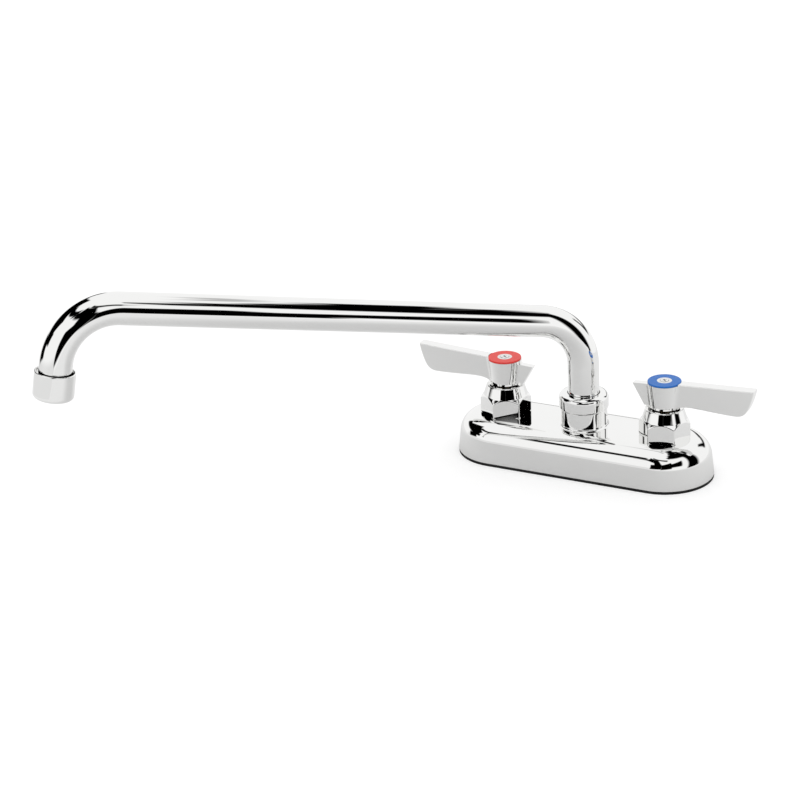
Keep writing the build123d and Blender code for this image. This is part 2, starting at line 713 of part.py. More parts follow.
with BuildPart() as outlet_washer:
    with BuildSketch(outlet_plane):
        Circle(collar_bore_r - BEARING_GAP)
        Circle(OUTLET_WASHER_HOLE_R, mode=Mode.SUBTRACT)
    extrude(amount=OUTLET_WASHER_T)
keep(outlet_washer, "outlet_washer")

with BuildPart() as flow_insert:
    with BuildSketch(outlet_plane.offset(OUTLET_WASHER_T)):
        Circle(collar_bore_r - BEARING_GAP)
    extrude(amount=INSERT_FLANGE_T)
    with BuildSketch(outlet_plane.offset(insert_seat)):
        Circle(INSERT_R)
    extrude(amount=INSERT_BODY_L)
    with BuildSketch(outlet_plane.offset(OUTLET_WASHER_T)):
        Circle(INSERT_CUP_R)
    extrude(amount=INSERT_FLANGE_T + INSERT_BODY_L - INSERT_PLATE_T, mode=Mode.SUBTRACT)
    with BuildSketch(outlet_plane.offset(insert_seat)):
        Circle(JET_R)
        for jet_count, jet_ring_r in jet_rings:
            with PolarLocations(jet_ring_r, jet_count):
                Circle(JET_R)
    extrude(amount=INSERT_BODY_L, mode=Mode.SUBTRACT)
keep(flow_insert, "flow_insert")

screen_place = insert_seat + INSERT_BODY_L - INSERT_PLATE_T - SCREEN_T
with BuildPart() as outlet_screen:
    with BuildSketch(outlet_plane.offset(screen_place)):
        Circle(INSERT_CUP_R - THREAD_GAP)
        with BuildSketch(outlet_plane.offset(screen_place), mode=Mode.SUBTRACT):
            mesh_count = 2 * int((INSERT_CUP_R - SCREEN_EDGE) / SCREEN_PITCH) + 1
            with GridLocations(SCREEN_PITCH, SCREEN_PITCH, mesh_count, mesh_count):
                Rectangle(SCREEN_HOLE, SCREEN_HOLE)
            Circle(INSERT_CUP_R - SCREEN_EDGE, mode=Mode.INTERSECT)
    extrude(amount=SCREEN_T)
keep(outlet_screen, "outlet_screen")
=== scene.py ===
# %% [markdown]
# ## A commercial deck-mount faucet, dressed for its photograph
# The CAD model gives every piece its place. This script keeps those places and gives the pieces
# that the eye meets a finer surface and a real finish: bright chrome plate, black rubber, brass,
# white ceramic and two coloured index discs. Lengths are typed in millimetres and angles in
# degrees, as in the drawing, and turned into Blender's metres and radians where they are used.

# %% Load the CAD model as the frame
import json
from math import radians

import bmesh
import bpy
import numpy as np
from mathutils import Matrix


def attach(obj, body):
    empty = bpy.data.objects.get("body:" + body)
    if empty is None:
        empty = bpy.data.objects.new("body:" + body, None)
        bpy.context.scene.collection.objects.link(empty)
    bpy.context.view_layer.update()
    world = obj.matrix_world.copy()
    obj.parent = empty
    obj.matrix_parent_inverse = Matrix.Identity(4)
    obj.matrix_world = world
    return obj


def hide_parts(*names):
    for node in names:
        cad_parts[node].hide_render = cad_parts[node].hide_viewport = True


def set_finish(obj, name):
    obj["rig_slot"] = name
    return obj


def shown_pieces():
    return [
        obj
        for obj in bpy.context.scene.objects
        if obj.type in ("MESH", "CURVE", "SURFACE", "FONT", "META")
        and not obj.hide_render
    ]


MM = 0.001
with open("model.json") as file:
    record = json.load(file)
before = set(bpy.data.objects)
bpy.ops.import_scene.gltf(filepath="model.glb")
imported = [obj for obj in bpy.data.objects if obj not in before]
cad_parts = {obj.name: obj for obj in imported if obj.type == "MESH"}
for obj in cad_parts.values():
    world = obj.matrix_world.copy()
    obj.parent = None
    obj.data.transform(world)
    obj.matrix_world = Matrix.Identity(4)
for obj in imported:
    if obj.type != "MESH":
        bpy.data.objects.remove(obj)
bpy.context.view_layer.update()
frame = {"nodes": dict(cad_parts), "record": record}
slot_of_node = {part["node"]: part["material_slot"] for part in frame["record"]["subparts"]}

# %% [markdown]
# ## The camera
# A product photographer stands well back with a long lens, so that the faucet keeps its
# proportions. The camera is placed the way a person would say it: a metre and a half away, turned
# so far to the right, raised so far, tilted a little, and then moved sideways until the middle of
# the deck plane lands on its pixel of the picture.

# %% Camera at the photograph's angle
PHOTO_SIZE = 789
TURN, RAISE, TILT = 28.338, 22.617, -2.638
DISTANCE = 1446.48
FOCAL_PIXELS = 2427.69
DECK_MIDDLE_PIXEL = (584.11, 460.14)


def new_object(name, data):
    """An object that shows a mesh or works as a camera, linked to the scene."""
    made = bpy.data.objects.new(name, data)
    bpy.context.scene.collection.objects.link(made)
    return made


def camera_axes(turn, raise_, tilt):
    """Unit vectors to the camera, to its right and up: two turns of the sphere, then the tilt."""
    a, e, r = np.radians([turn, raise_, tilt])
    back = np.array([np.sin(a) * np.cos(e), -np.cos(a) * np.cos(e), np.sin(e)])
    right = np.array([np.cos(a), np.sin(a), 0.0])
    up = np.cross(back, right)
    return back, right * np.cos(r) + up * np.sin(r), -right * np.sin(r) + up * np.cos(r)


back, right, up = camera_axes(TURN, RAISE, TILT)
middle = (PHOTO_SIZE - 1) / 2
across = (DECK_MIDDLE_PIXEL[0] - middle) * DISTANCE / FOCAL_PIXELS
above = (middle - DECK_MIDDLE_PIXEL[1]) * DISTANCE / FOCAL_PIXELS
eye = DISTANCE * back - across * right - above * up

camera_data = bpy.data.cameras.new("photo_camera")
camera_data.sensor_width = 36.0
camera_data.lens = FOCAL_PIXELS / PHOTO_SIZE * camera_data.sensor_width
camera = new_object("photo_camera", camera_data)
turned_axes = np.eye(4)
turned_axes[:3, :4] = np.stack([right, up, back, eye * MM], axis=1)
camera.matrix_world = Matrix(turned_axes.tolist())
bpy.context.scene.camera = camera
print("camera at", np.round(eye).tolist(), "mm, lens", round(camera_data.lens, 1), "mm")

# %% [markdown]
# ## How a surface becomes a mesh
# Every new piece is a sheet of points: rows one way, columns the other. The same small function
# joins neighbouring points with four-sided faces, whatever the shape is. Sheets that close on
# themselves wrap round, and points that fall on one spot, at a pole, are merged.

# %% Sheets of points to a finished piece
WELD, SLIVER = 0.002, 0.001


def quads(rows, columns, wrap_rows=False):
    """Corner numbers of the faces between neighbouring points of a sheet that wraps its columns."""
    i, j = np.meshgrid(np.arange(rows if wrap_rows else rows - 1), np.arange(columns), indexing="ij")
    i2, j2 = (i + 1) % rows, (j + 1) % columns
    corners = [i * columns + j, i * columns + j2, i2 * columns + j2, i2 * columns + j]
    return np.stack(corners, axis=-1).reshape(-1, 4)


def finished_piece(name, mesh, node, body, slot, crease):
    """The mesh, smooth up to the crease angle, stands for a CAD node and rides on its body."""
    mesh.shade_smooth()
    mesh.set_sharp_from_angle(angle=radians(crease))
    piece = new_object(name, mesh)
    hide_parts(node)
    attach(piece, body)
    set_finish(piece, slot)
    print(name, "faces:", len(mesh.polygons))
    return piece


def make_piece(name, sheets, node, body, slot, crease=32.0):
    """One piece from sheets of points: faces between them, doubles merged, all facing outwards."""
    points, faces, count = [], [], 0
    for sheet, wrap_rows in sheets:
        points.append(sheet.reshape(-1, 3))
        faces.append(quads(sheet.shape[0], sheet.shape[1], wrap_rows) + count)
        count += len(points[-1])
    mesh = bpy.data.meshes.new(name)
    mesh.from_pydata((np.concatenate(points) * MM).tolist(), [], np.concatenate(faces).tolist())
    bm = bmesh.new()
    bm.from_mesh(mesh)
    bmesh.ops.remove_doubles(bm, verts=bm.verts, dist=WELD * MM)
    bmesh.ops.dissolve_degenerate(bm, edges=bm.edges, dist=SLIVER * MM)
    bmesh.ops.recalc_face_normals(bm, faces=bm.faces)
    bm.to_mesh(mesh)
    bm.free()
    finished_piece(name, mesh, node, body, slot, crease)


# %% [markdown]
# ## Profiles with rounded corners
# Most of this faucet comes off a lathe, so most pieces start as a profile: corners with a radius
# each, 0 where a corner is hidden or on the axis. A bevel modifier would round them too, but the
# arcs worked out here are exact, and the steps along them can be as short as a mirror needs.

# %% A rounded profile, and the profile turned
SOFT_EDGE, FINE_EDGE, CRISP_EDGE = 0.3, 0.2, 0.1


def rounded(corners, step=0.5, closed=False, arc_step=0.35, fewest=7):
    """A profile through corners (r, z, radius): straight runs and tangent arcs, in short steps.

    At each corner the arc's centre lies on the bisector, radius / sin(half angle) away, and the
    runs stop radius / tan(half angle) short of the corner."""
    spots = np.array([c[:2] for c in corners], float)
    radii = [c[2] for c in corners]
    line = []
    for k, (spot, radius) in enumerate(zip(spots, radii)):
        if radius == 0 or (not closed and k in (0, len(spots) - 1)):
            line.append(spot[None])
            continue
        a = spots[k - 1] - spot
        b = spots[(k + 1) % len(spots)] - spot
        a, b = a / np.hypot(*a), b / np.hypot(*b)
        half = np.arccos(np.clip(a @ b, -1, 1)) / 2
        centre = spot + (a + b) / np.hypot(*(a + b)) * radius / np.sin(half)
        start, end = spot + a * radius / np.tan(half), spot + b * radius / np.tan(half)
        turns = np.linspace(0, 1, max(fewest, int(np.ceil(radius / arc_step))))[:, None]
        u, v = start - centre, end - centre
        sweep = np.arccos(np.clip(u @ v / radius**2, -1, 1))
        arc = (np.sin((1 - turns) * sweep) * u + np.sin(turns * sweep) * v) / np.sin(sweep)
        line.append(centre + arc)
    line = np.concatenate(line + ([line[0][:1]] if closed else []))
    lengths = np.hypot(*np.diff(line, axis=0).T)
    pieces = [
        p + (q - p) * np.linspace(0, 1, max(1, int(np.ceil(d / step))), endpoint=False)[:, None]
        for p, q, d in zip(line[:-1], line[1:], lengths)
        if d > 1e-6
    ]
    return np.concatenate(pieces if closed else pieces + [line[-1:]])


def turned(profile, centre=(0, 0), columns=128):
    """A profile of (r, z) spun about an upright axis: x = cx + r cos t, y = cy + r sin t."""
    t = np.linspace(0, 2 * np.pi, columns, endpoint=False)
    r, z = profile[:, :1], profile[:, 1:]
    return np.stack([centre[0] + r * np.cos(t), centre[1] + r * np.sin(t), z + 0 * t], axis=-1)


# %% [markdown]
# ## The body casting
# The real body is cast brass, ground smooth and plated. Its plan is a stadium, two half circles
# joined by straight sides, and its wall leans in a little so that it leaves the mould. A box with
# bevels could come close, but a profile carried round the stadium gives the round shoulder the
# same softness all the way, and the reflections run along it without a break.

# %% Body casting
VALVE_SPACING, BODY_END_R, BODY_HEIGHT = 101.6, 29.0, 24.5
WALL_DRAFT, SHOULDER_R, GASKET_T = 6.2, 12.1, 1.6


def stadium(profile, half_length, arc_columns=72, side_columns=60):
    """A profile of (r, z) carried round a stadium: centre of the near end or side + r * outward."""
    t = np.linspace(-np.pi / 2, np.pi / 2, arc_columns)
    along = np.linspace(1, -1, side_columns + 2)[1:-1] * half_length
    out_x = np.concatenate([np.cos(t), 0 * along, -np.cos(t), 0 * along])
    out_y = np.concatenate([np.sin(t), 0 * along + 1, -np.sin(t), 0 * along - 1])
    centre_x = np.concatenate([0 * t + half_length, along, 0 * t - half_length, -along])
    r, z = profile[:, :1], profile[:, 1:]
    return np.stack([centre_x + r * out_x, r * out_y, z + 0 * out_x], axis=-1)


top_r = BODY_END_R - (BODY_HEIGHT - GASKET_T) * np.tan(radians(WALL_DRAFT))
body_profile = rounded(
    [
        (0, GASKET_T, 0),
        (BODY_END_R, GASKET_T, SOFT_EDGE),
        (top_r, BODY_HEIGHT, SHOULDER_R),
        (0, BODY_HEIGHT, 0),
    ]
)
print("casting wall: radius", BODY_END_R, "at its foot, leaning in to", round(float(top_r), 2), "mm")

# %% [markdown]
# ## The boss and neck of the swivel
# The boss grows out of the casting's top with a small fillet and carries a slimmer threaded neck,
# whose socket holds the spout. It is a ring turned about the upright axis. Its fillet runs out a
# hair below the casting's top, and the rest of its foot lies inside, where nobody sees the join.

# %% Boss and neck, in one piece with the casting
BOSS_R, BOSS_HEIGHT, BOSS_FILLET, NECK_R, NECK_TOP = 13.8, 10.7, 1.4, 12.2, 39.5
SOCKET_R = 8.6
FILLET_RUNOUT, FILLET_SUNK = 1.5, 0.02
FOOT_DEPTH, FOOT_INSET, FOOT_EDGE_T = 3.0, 1.0, 0.4
boss_top = BODY_HEIGHT + BOSS_HEIGHT
fillet_foot_r = BOSS_R + BOSS_FILLET + FILLET_RUNOUT
boss_profile = rounded(
    [
        (fillet_foot_r, BODY_HEIGHT - FILLET_SUNK, 0),
        (BOSS_R, BODY_HEIGHT - FILLET_SUNK, BOSS_FILLET),
        (BOSS_R, boss_top, SOFT_EDGE),
        (NECK_R, boss_top, CRISP_EDGE),
        (NECK_R, NECK_TOP, SOFT_EDGE),
        (SOCKET_R, NECK_TOP, FINE_EDGE),
        (SOCKET_R, BODY_HEIGHT - FOOT_DEPTH, 0),
        (BOSS_R - FOOT_INSET, BODY_HEIGHT - FOOT_DEPTH, 0),
        (fillet_foot_r, BODY_HEIGHT - FOOT_EDGE_T, 0),
    ],
    closed=True,
)
casting_sheets = [(stadium(body_profile, VALVE_SPACING / 2), False), (turned(boss_profile), True)]
make_piece("body_casting", casting_sheets, "faucet_body", "body", "chrome_plate")

# %% [markdown]
# ## The bonnet nuts
# A bonnet nut starts as hexagonal bar. Its upper part is turned on a lathe to a cone, so each
# flat ends in a curved scallop where the cone cuts it. A boolean would make that edge razor
# sharp. Here the nut's radius in every direction is the smaller of two radii, the turned profile
# and the hexagon, and a soft minimum rounds the edge between them as plating does.

# %% Two bonnet nuts
BONNET_CORNER_R, BONNET_HEX_H, BONNET_SHOULDER_R, BONNET_SHOULDER_H = 15.3, 9.0, 13.1, 2.8
BONNET_TOP_Z, BONNET_TOP_R, BONNET_MOUTH_R = 42.7, 11.1, 5.4
BONNET_CHAMFER, BONNET_SHOULDER_FILLET, BONNET_TOP_FILLET = 0.6, 1.2, 0.8
HEX_CORNER_SOFTNESS, SCALLOP_SOFTNESS = 0.5, 0.35
HOT_NUT_TURN, COLD_NUT_TURN = 25.0, 12.6
HOT_X, COLD_X = -VALVE_SPACING / 2, VALVE_SPACING / 2


def soft_min(a, b, width):
    """The smaller of a and b, with the corner between them rounded over a given width."""
    overlap = np.clip(width - np.abs(a - b), 0, None) / width
    return np.minimum(a, b) - overlap**2 * width / 4


def bonnet_sheet(x, turn, columns=384):
    """Radius = soft minimum of the turned profile's r and the hexagon's apothem / cos(angle)."""
    hex_top = BODY_HEIGHT + BONNET_HEX_H
    profile = rounded(
        [
            (BONNET_MOUTH_R, BODY_HEIGHT, 0),
            (BONNET_CORNER_R - BONNET_CHAMFER, BODY_HEIGHT, CRISP_EDGE),
            (BONNET_CORNER_R, BODY_HEIGHT + BONNET_CHAMFER, CRISP_EDGE),
            (BONNET_CORNER_R, hex_top, FINE_EDGE),
            (BONNET_SHOULDER_R, hex_top + BONNET_SHOULDER_H, BONNET_SHOULDER_FILLET),
            (BONNET_TOP_R, BONNET_TOP_Z, BONNET_TOP_FILLET),
            (BONNET_MOUTH_R, BONNET_TOP_Z, FINE_EDGE),
        ],
        step=0.28,
        closed=True,
    )
    t = np.linspace(0, 2 * np.pi, columns, endpoint=False)
    apothem = BONNET_CORNER_R * np.cos(np.pi / 6)
    from_flat = np.mod(t - radians(turn), np.pi / 3) - np.pi / 6
    flats = apothem / np.cos(from_flat)
    next_flat = apothem / np.cos(np.pi / 3 - np.abs(from_flat))
    hexagon = soft_min(flats, next_flat, HEX_CORNER_SOFTNESS)
    r = soft_min(profile[:, :1], hexagon[None], SCALLOP_SOFTNESS)
    return np.stack([x + r * np.cos(t), r * np.sin(t), profile[:, 1:] + 0 * t], axis=-1)


for valve, x, turn in (("hot", HOT_X, HOT_NUT_TURN), ("cold", COLD_X, COLD_NUT_TURN)):
    nut_sheets = [(bonnet_sheet(x, turn), True)]
    make_piece(f"{valve}_bonnet", nut_sheets, f"{valve}_bonnet_nut", "body", "chrome_plate", crease=50)

# %% [markdown]
# ## The spout nut
# The nut that holds the swing spout is turned from bar: a plain band, a large round shoulder and
# a mouth that lets the tube turn. A profile spun about the upright axis is all it needs.

# %% Spout nut
NUT_R, NUT_SHOULDER_R, NUT_FOOT_R, NUT_LIP_T = 14.65, 3.0, 0.8, 1.5
TUBE_R, NUT_MOUTH_GAP, NUT_FOOT_GAP, THREAD_GAP = 9.25, 0.35, 0.3, 0.05
nut_foot, nut_top = boss_top + NUT_FOOT_GAP, 44.6
nut_profile = rounded(
    [
        (NECK_R + THREAD_GAP, nut_foot, 0),
        (NUT_R, nut_foot, NUT_FOOT_R),
        (NUT_R, nut_top, NUT_SHOULDER_R),
        (TUBE_R + NUT_MOUTH_GAP, nut_top, FINE_EDGE),
        (TUBE_R + NUT_MOUTH_GAP, nut_top - NUT_LIP_T, 0),
        (NECK_R + THREAD_GAP, nut_top - NUT_LIP_T, 0),
    ],
    step=0.3,
    closed=True,
)
nut_sheets = [(turned(nut_profile, columns=160), True)]
make_piece("swing_nut", nut_sheets, "spout_nut", "body", "chrome_plate")

# %% [markdown]
# ## The swing spout
# The spout is one brass tube, bent twice on a mandrel, so both bends have the same radius. Its
# middle line is worked out first: a riser, a long run that climbs a little, and a short outlet
# that leans, joined by arcs. It all lies in one upright plane, which the swing turns to the left.

# %% Path of the spout
SPOUT_CORNER_Z, RUN_SLOPE, RUN_LENGTH, OUTLET_LEAN = 88.2, 11.2, 309.3, 10.2
BEND_R, SPOUT_SWING, OUTLET_LENGTH = 32.0, 46.8, 45.6
RISER_FOOT = 42.1
swing, slope, lean = np.radians([SPOUT_SWING, RUN_SLOPE, OUTLET_LEAN])
UP = np.array([0.0, 0.0, 1.0])
reach = np.array([-np.cos(swing), -np.sin(swing), 0.0])
plane_normal = np.cross(reach, UP)


def bent_path(run_steps=60, bend_steps=72):
    """Points (reach, height) and headings along riser, bend, run, bend and outlet.

    The heading turns from upright to the run's slope and on to the outlet's, evenly over each
    bend; the points are the running sum of the exact chords of those arcs."""
    riser = SPOUT_CORNER_Z - RISER_FOOT
    headings = np.array([np.pi / 2, slope, -np.pi / 2 + lean])
    cuts = BEND_R * np.tan(np.abs(np.diff(headings)) / 2)
    runs = [riser - cuts[0], RUN_LENGTH - cuts.sum(), OUTLET_LENGTH - cuts[1]]
    heading, length = [headings[0]], [0.0]
    for k in range(3):
        heading += [headings[k]] * run_steps
        length += [runs[k] / run_steps] * run_steps
        if k < 2:
            sweep = np.diff(headings)[k]
            turns = (np.arange(bend_steps) + 0.5) / bend_steps
            heading += list(headings[k] + sweep * turns)
            length += [2 * BEND_R * np.sin(abs(sweep) / bend_steps / 2)] * bend_steps
    heading, length = np.array(heading), np.array(length)
    spots = np.cumsum(np.stack([np.cos(heading), np.sin(heading)], 1) * length[:, None], axis=0)
    at_spot = np.append(heading[:1], (heading[1:] + np.append(heading[2:], heading[-1])) / 2)
    return spots + [0, RISER_FOOT], at_spot


path_spots, _ = bent_path()
tube_end = path_spots[-1, 0] * reach + path_spots[-1, 1] * UP
print("tube ends at", np.round(tube_end, 2).tolist())

# %% [markdown]
# ## The tube round the path
# A curve object with a bevel would do, but its rings turn in ways that are hard to steer. Here the
# ring at each point is built from the plane's level normal and the path's own normal, and never
# twists. Rings go out along the outside and back along the bore, so the wall is closed.

# %% Spout tube
TUBE_WALL = 1.1


def swept_tube(outer, bore, columns=128):
    """Rings of radius outer along the path and back along the bore, so that the wall is closed."""
    spots, heading = bent_path()
    t = np.linspace(0, 2 * np.pi, columns, endpoint=False)
    centre = spots[:, :1] * reach + spots[:, 1:] * UP
    normal = -np.sin(heading)[:, None] * reach + np.cos(heading)[:, None] * UP
    ring = np.cos(t)[None, :, None] * plane_normal + np.sin(t)[None, :, None] * normal[:, None]
    return np.concatenate([centre[:, None] + outer * ring, (centre[:, None] + bore * ring)[::-1]])


tube_sheets = [(swept_tube(TUBE_R, TUBE_R - TUBE_WALL), True)]
make_piece("swing_spout", tube_sheets, "spout_tube", "spout", "chrome_plate")

# %% [markdown]
# ## The outlet collar
# A thin turned collar screws over the tube's end and traps the washer and the flow insert. It is
# the spout nut's recipe again, on an axis that leans with the outlet.

# %% Outlet collar
COLLAR_R, COLLAR_ABOVE_END, COLLAR_BELOW_END, COLLAR_WALL = 11.4, 8.7, 6.8, 0.9
COLLAR_LIP_R, COLLAR_FOOT_R, INSERT_SEAT = 8.6, 2.6, 3.0
outlet_dir = reach * np.sin(lean) - UP * np.cos(lean)
level_dir = reach * np.cos(lean) + UP * np.sin(lean)
third_dir = np.cross(outlet_dir, level_dir)


def turned_on_outlet(profile, columns=144):
    """A profile of (r, distance down the stream) spun about the outlet's own axis."""
    t = np.linspace(0, 2 * np.pi, columns, endpoint=False)
    ring = np.cos(t)[:, None] * level_dir + np.sin(t)[:, None] * third_dir
    return tube_end + profile[:, None, :1] * ring + profile[:, None, 1:] * outlet_dir


collar_profile = rounded(
    [
        (COLLAR_R - COLLAR_WALL, -COLLAR_ABOVE_END, FINE_EDGE),
        (COLLAR_R, -COLLAR_ABOVE_END, SOFT_EDGE),
        (COLLAR_R, COLLAR_BELOW_END, COLLAR_FOOT_R),
        (COLLAR_LIP_R, COLLAR_BELOW_END, CRISP_EDGE),
        (COLLAR_LIP_R, INSERT_SEAT, 0),
        (COLLAR_R - COLLAR_WALL, INSERT_SEAT, 0),
    ],
    step=0.35,
    closed=True,
)
collar_sheets = [(turned_on_outlet(collar_profile), True)]
make_piece("stream_collar", collar_sheets, "outlet_collar", "spout", "chrome_plate")

# %% [markdown]
# ## The levers
# Each lever is a zinc casting: a tapered hub, a flat blade that dips at its tip and a short tail
# fin, with soft blends where they meet. The drawing already has these blends to a hundredth of a
# millimetre, so the lever is a copy of its CAD node whose loose triangles are merged and whose
# normals follow the large faces.

# %% Levers from merged copies
CAD_WELD = 0.001
CAD_ATTRIBUTES = ("custom_normal", "sharp_edge", "sharp_face")


def merged_copy(name, node, body, slot, crease=32.0):
    """A copy of a CAD node with its doubles merged, and normals weighted by the faces' areas."""
    mesh = frame["nodes"][node].data.copy()
    mesh.name = name
    bm = bmesh.new()
    bm.from_mesh(mesh)
    bmesh.ops.remove_doubles(bm, verts=bm.verts, dist=CAD_WELD * MM)
    bm.to_mesh(mesh)
    bm.free()
    for spare in [a.name for a in mesh.attributes if a.name in CAD_ATTRIBUTES]:
        mesh.attributes.remove(mesh.attributes[spare])
    piece = finished_piece(name, mesh, node, body, slot, crease)
    piece.modifiers.new("weighted_normals", "WEIGHTED_NORMAL").keep_sharp = True


for valve in ("hot", "cold"):
    merged_copy(f"{valve}_handle", f"{valve}_lever", f"{valve}_handle", "chrome_plate")

# %% [markdown]
# ## The adapter in the collar's mouth
# The adapter is soldered on the tube's end before plating, so the ring of it that shows inside
# the collar is as bright as the tube.

# %% Plated adapter
merged_copy("plated_adapter", "outlet_adapter", "spout", "chrome_plate")

# %% [markdown]
# ## The handle screws
# A small cross-head screw goes down through each handle into its stem. The screw is turned, and
# its flat top sinks where a cross of two slots crosses it. A boolean would cut the cross too, but
# a height that falls over a short ramp leaves the soft rim of a pressed recess.

# %% Sheet of a screw with its cross
HUB_TOP = 58.5
SCREW_HEAD_R, SCREW_HEAD_T, SCREW_R, SCREW_LENGTH = 2.45, 1.2, 1.95, 12.0
SCREW_DOME_R, SCREW_TOP_BAND = 0.5, 0.05
CROSS_HALF_WIDTH, CROSS_HALF_LENGTH, CROSS_EDGE, CROSS_DEPTH = 0.36, 1.3, 0.1, 1.1
HEAD_TOP = HUB_TOP + SCREW_HEAD_T


def cross_slot(across, along):
    """1 inside one slot of the cross and 0 outside, with a straight ramp over its edge."""
    in_width = np.clip((CROSS_HALF_WIDTH - np.abs(across)) / CROSS_EDGE, 0, 1)
    in_length = np.clip((CROSS_HALF_LENGTH - np.abs(along)) / CROSS_EDGE, 0, 1)
    return in_width * in_length


def screw_sheet(x, columns=160):
    """A turned screw whose top sinks by the cross's depth wherever either slot is 1."""
    profile = rounded(
        [
            (0, HUB_TOP - SCREW_LENGTH, 0),
            (SCREW_R, HUB_TOP - SCREW_LENGTH, SOFT_EDGE),
            (SCREW_R, HUB_TOP, 0),
            (SCREW_HEAD_R, HUB_TOP, CRISP_EDGE),
            (SCREW_HEAD_R, HEAD_TOP, SCREW_DOME_R),
            (0, HEAD_TOP, 0),
        ],
        step=0.12,
    )
    points = turned(profile, (x, 0), columns)
    u = (points[..., 0] - x + points[..., 1]) / np.sqrt(2)
    v = (points[..., 0] - x - points[..., 1]) / np.sqrt(2)
    on_top = points[..., 2] > HEAD_TOP - SCREW_TOP_BAND
    points[..., 2] -= CROSS_DEPTH * np.maximum(cross_slot(u, v), cross_slot(v, u)) * on_top
    return points


# %% [markdown]
# ## The index discs
# A thin plastic disc tells hot from cold and lies on the hub, under the screw's head. It is turned
# with a small round edge, which catches the light as moulded plastic does.

# %% Index discs, each with its screw
INDEX_R, INDEX_T, INDEX_HOLE_R, INDEX_EDGE_R = 9.8, 0.9, 2.6, 0.35
disc_profile = rounded(
    [
        (INDEX_HOLE_R, HUB_TOP, 0),
        (INDEX_R, HUB_TOP, CRISP_EDGE),
        (INDEX_R, HUB_TOP + INDEX_T, INDEX_EDGE_R),
        (INDEX_HOLE_R, HUB_TOP + INDEX_T, CRISP_EDGE),
    ],
    step=0.3,
    closed=True,
)
for valve, x, colour in (("hot", HOT_X, "red_index"), ("cold", COLD_X, "blue_index")):
    handle = f"{valve}_handle"
    disc_sheets = [(turned(disc_profile, (x, 0)), True)]
    make_piece(f"{valve}_index", disc_sheets, f"{valve}_index_disc", handle, colour)
    make_piece(f"{valve}_screw", [(screw_sheet(x), False)], f"{valve}_handle_screw", handle, "steel")

# %% [markdown]
# ## Helpers for node trees
# Material nodes are a drawing, and what repeats in them is tedious to wire by hand. So a material
# starts with its nodes switched on, a sum is written as calls, a distance becomes a ramp between
# two lengths, and a node group starts with its named sockets.

# %% Materials, sums, ramps and groups
def new_material(name):
    """A material with nodes: a Principled shader joined to the output."""
    material = bpy.data.materials.new(name)
    material.use_nodes = True
    return material


class MathChain:
    """Math nodes in one tree, written as calls: math("ADD", a, b) gives the sum's output."""

    def __init__(self, tree):
        self.tree = tree

    def __call__(self, operation, *values):
        node = self.tree.nodes.new("ShaderNodeMath")
        node.operation = operation
        for socket, value in zip(node.inputs, values):
            if isinstance(value, (int, float)):
                socket.default_value = value
            else:
                self.tree.links.new(value, socket)
        return node.outputs["Value"]


def ramp_between(tree, value, start, end):
    """A Map Range node: 0 where the value is the start, in mm, and 1 where it is the end."""
    ramp = tree.nodes.new("ShaderNodeMapRange")
    ramp.inputs["From Min"].default_value = start * MM
    ramp.inputs["From Max"].default_value = end * MM
    tree.links.new(value, ramp.inputs["Value"])
    return ramp


def node_group(name, inputs, outputs):
    """A new group with float inputs and (label, kind) outputs; its tree and both ends' sockets."""
    tree = bpy.data.node_groups.new(name, "ShaderNodeTree")
    for label in inputs:
        tree.interface.new_socket(label, in_out="INPUT", socket_type="NodeSocketFloat")
    for label, kind in outputs:
        tree.interface.new_socket(label, in_out="OUTPUT", socket_type=f"NodeSocket{kind}")
    return tree, tree.nodes.new("NodeGroupInput").outputs, tree.nodes.new("NodeGroupOutput").inputs


# %% [markdown]
# ## Finishes
# Bright chrome has almost no colour of its own: what the eye reads is the room in it. Even so a
# real plated casting isn't a perfect mirror. It has a faint ripple from polishing and a haze of
# dried water. One node group makes that unevenness for all finishes, a roughness and a bent
# normal from two noises, and every finish sets its own amounts.

# %% Uneven surface, shared by all finishes
HAZE_DETAIL, GRAIN_DETAIL, GRAIN_HEIGHT = 4.0, 2.0, 0.2


def uneven_group():
    """Noise at two sizes: Roughness = base + haze * noise, and a Bump of the finer noise."""
    tree, get, put = node_group(
        "uneven_surface",
        ("Base Roughness", "Haze", "Haze Size", "Grain Size", "Grain Depth"),
        (("Roughness", "Float"), ("Normal", "Vector"), ("Patches", "Float")),
    )
    new, join = tree.nodes.new, tree.links.new
    place, haze, grain = new("ShaderNodeTexCoord"), new("ShaderNodeTexNoise"), new("ShaderNodeTexNoise")
    for noise, size, detail in ((haze, "Haze Size", HAZE_DETAIL), (grain, "Grain Size", GRAIN_DETAIL)):
        noise.inputs["Detail"].default_value = detail
        join(place.outputs["Object"], noise.inputs["Vector"])
        join(get[size], noise.inputs["Scale"])
    bump = new("ShaderNodeBump")
    bump.inputs["Distance"].default_value = GRAIN_HEIGHT * MM
    join(get["Grain Depth"], bump.inputs["Strength"])
    join(grain.outputs["Fac"], bump.inputs["Height"])
    rough = MathChain(tree)("MULTIPLY_ADD", haze.outputs["Fac"], get["Haze"], get["Base Roughness"])
    join(rough, put["Roughness"])
    join(bump.outputs["Normal"], put["Normal"])
    join(haze.outputs["Fac"], put["Patches"])
    return tree


uneven_surface = uneven_group()
print("uneven surface:", len(uneven_surface.nodes), "nodes")

# %% [markdown]
# ## A finish from two colours
# No real surface has one colour all over. Each finish drifts between two near colours, in the same
# patches as its haze, so that what is duller there is also a little darker or lighter.

